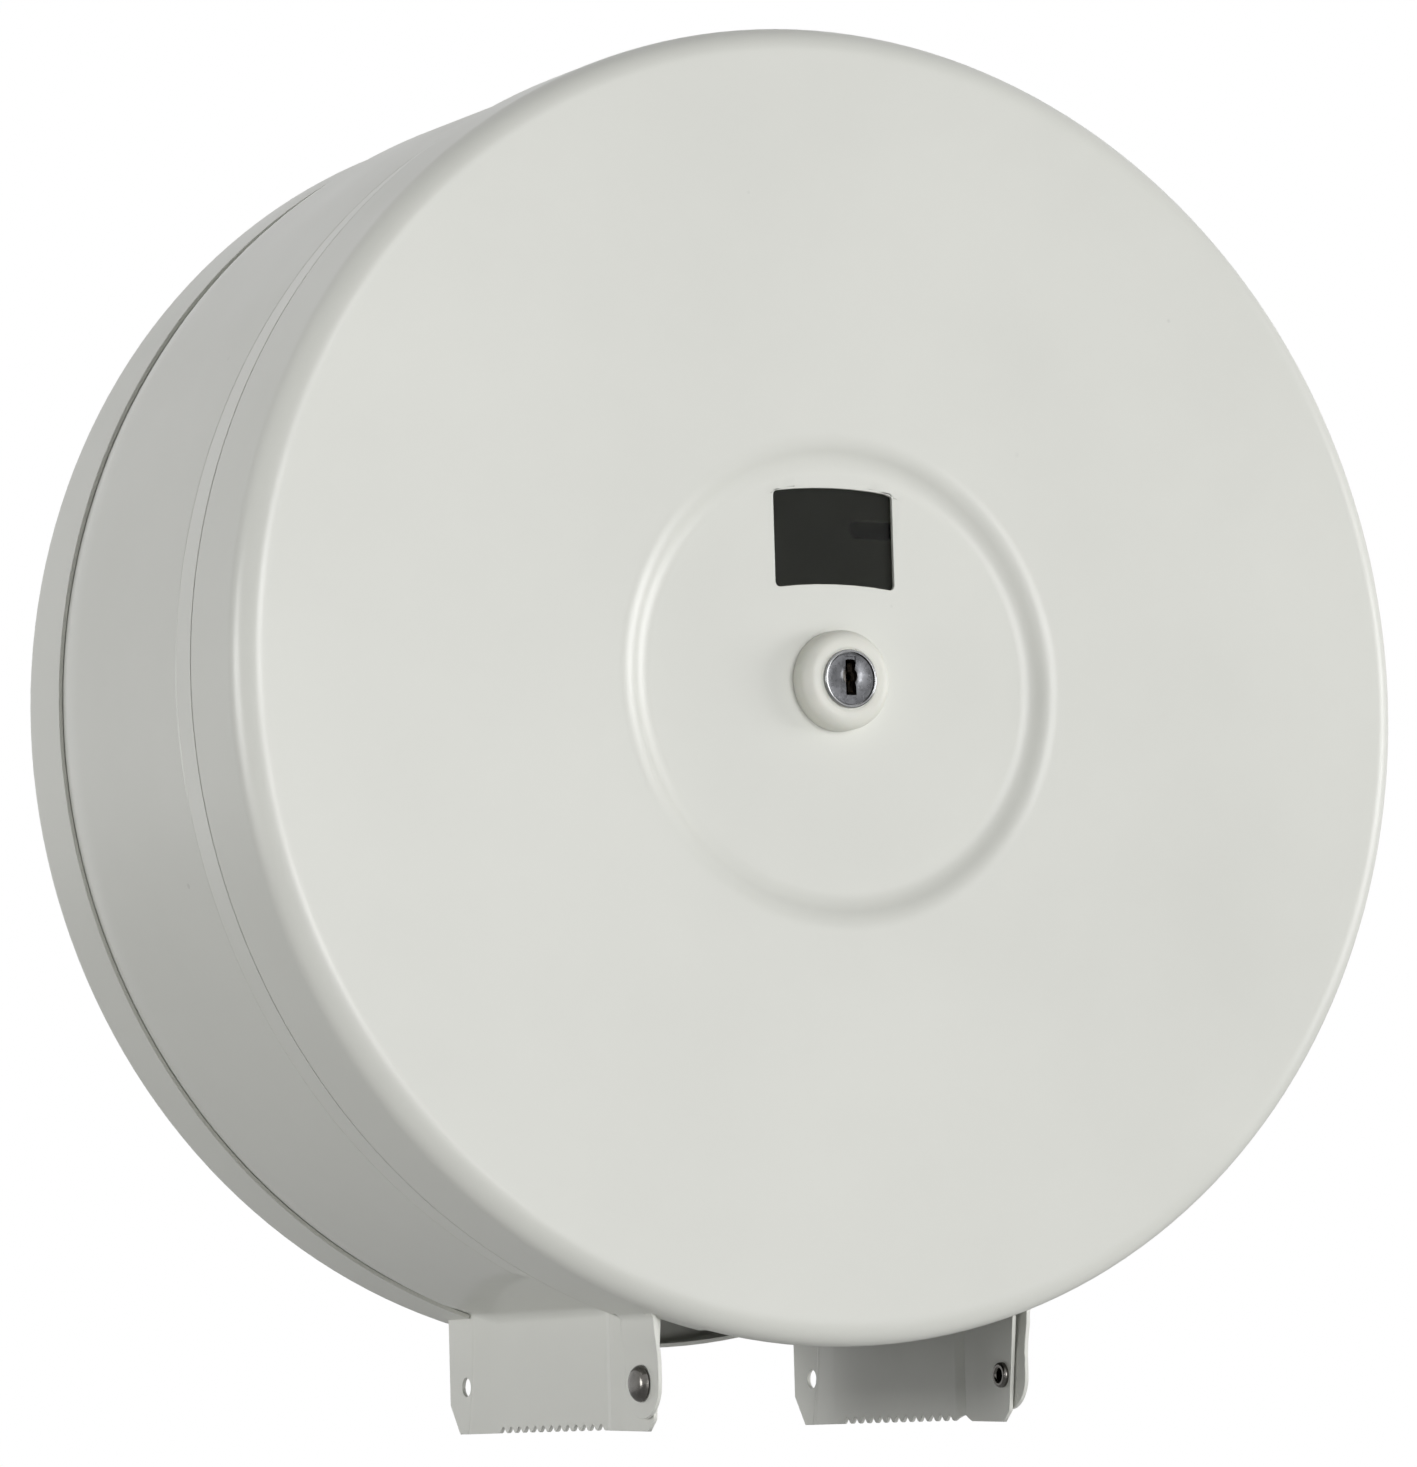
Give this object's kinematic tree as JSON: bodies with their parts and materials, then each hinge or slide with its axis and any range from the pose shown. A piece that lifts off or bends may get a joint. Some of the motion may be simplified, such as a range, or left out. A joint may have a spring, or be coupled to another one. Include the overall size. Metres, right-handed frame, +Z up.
{
  "type": "jumbo toilet roll dispenser",
  "caption": "Wall-held round steel dispenser for a jumbo paper roll, with serrated tear blades and a locking cover that hinges down.",
  "frame": {"origin": "middle of the rear pan's back face, on the wall plane and on the drum's axis", "axes": "+Z up, +Y into the wall, the front cover faces -Y"},
  "size_m": [0.31, 0.13, 0.3284],
  "materials": {
    "white_paint": "semi-gloss powder coat",
    "smoked_plastic": "clear smoked sheet",
    "zinc_steel": "bright zinc plated",
    "ivory_plastic": "satin moulded",
    "bright_nickel": "bright nickel plated",
    "brass_sheet": "stamped",
    "grey_plastic": "moulded"
  },
  "bodies": {
    "housing": {"rear_pan": "white_paint", "side_band": "white_paint", "spindle_flange": "zinc_steel", "spindle_tube": "zinc_steel", "spindle_rivets": "zinc_steel", "spindle_keeper": "zinc_steel", "hinge_rivet_left": "bright_nickel", "hinge_rivet_right": "bright_nickel"},
    "cover": {"front_cover": "white_paint", "window_pane": "smoked_plastic", "pane_studs": "zinc_steel", "pane_push_nuts": "zinc_steel", "lock_boss": "ivory_plastic", "lock_barrel": "bright_nickel", "lock_washer": "zinc_steel", "lock_nut": "bright_nickel"},
    "plug": {"lock_plug": "bright_nickel", "lock_wafers": "brass_sheet", "lock_cam": "zinc_steel", "cam_spring_washer": "zinc_steel", "cam_screw": "zinc_steel"},
    "hub": {"roll_hub": "grey_plastic"}
  },
  "joints": [
    {"name": "cover_hinge", "type": "hinge", "parent": "housing", "child": "cover", "pos_m": [0, -0.1095, -0.1623], "axis": [1, 0, 0], "range_deg": [0, 175]},
    {"name": "lock_turn", "type": "hinge", "parent": "cover", "child": "plug", "pos_m": [0, -0.12, 0], "axis": [0, -1, 0], "range_deg": [0, 90]},
    {"name": "hub_spin", "type": "hinge", "parent": "housing", "child": "hub", "pos_m": [0, -0.05, 0], "axis": [0, -1, 0], "continuous": true}
  ]
}
